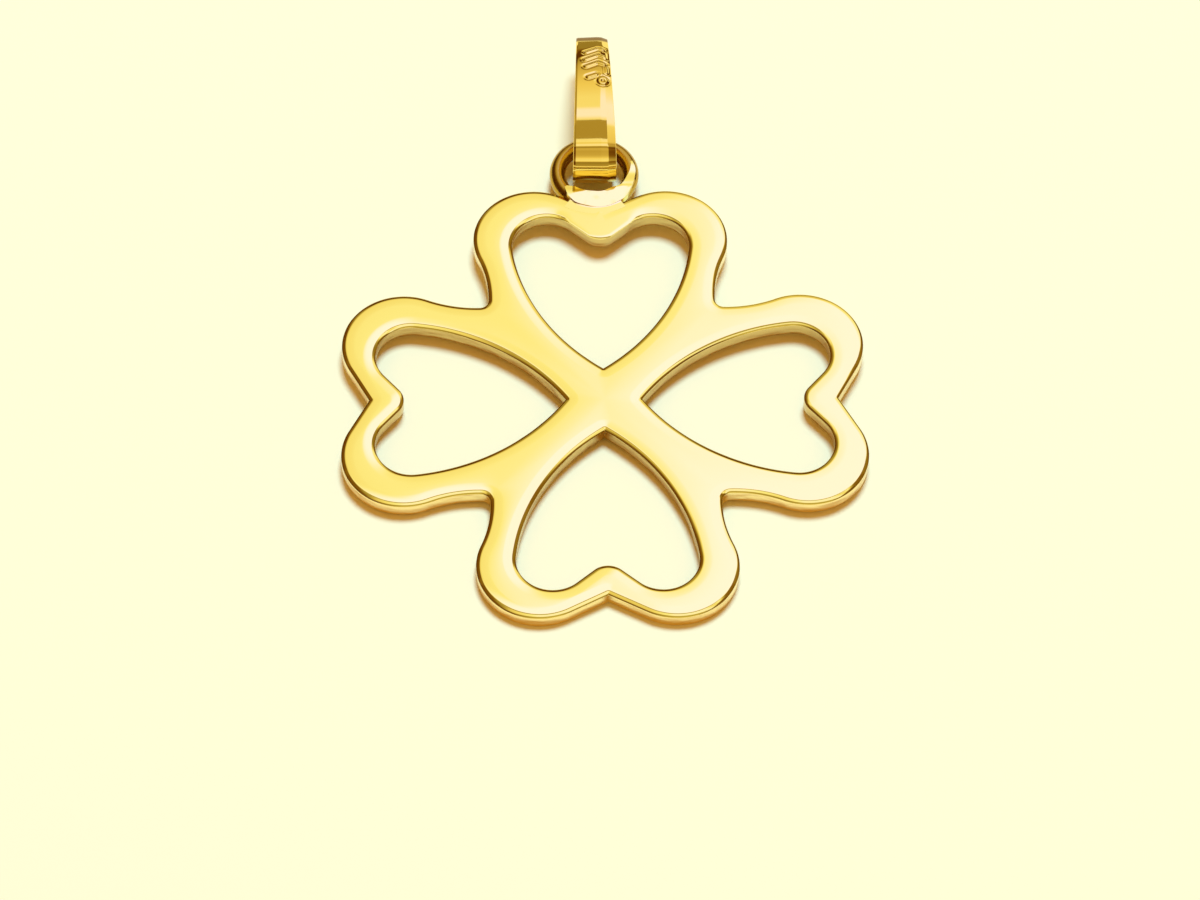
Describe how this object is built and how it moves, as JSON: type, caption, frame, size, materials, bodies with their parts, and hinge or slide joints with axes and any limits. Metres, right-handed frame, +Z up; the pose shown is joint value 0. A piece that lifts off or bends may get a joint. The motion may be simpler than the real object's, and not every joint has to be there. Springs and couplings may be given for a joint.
{
  "type": "four leaf clover pendant",
  "caption": "Flat open clover charm with a heart opening in each leaf, a wire ring soldered in the notch of one leaf, and a flat strap bail looped through the ring for a chain.",
  "frame": {"origin": "middle of the pendant's length and width as it lies, on the table that it lies on", "axes": "+Z up from the table, +Y from the leaf that touches the table to the ring and the bail"},
  "size_m": [0.0204, 0.0276, 0.003],
  "materials": {
    "clover_gold": "polished 14 karat yellow gold, mirror bright",
    "bail_gold": "polished 14 karat yellow gold, mirror bright, with small punched dents"
  },
  "bodies": {
    "root": {"clover": "clover_gold", "bail": "bail_gold"}
  },
  "joints": []
}
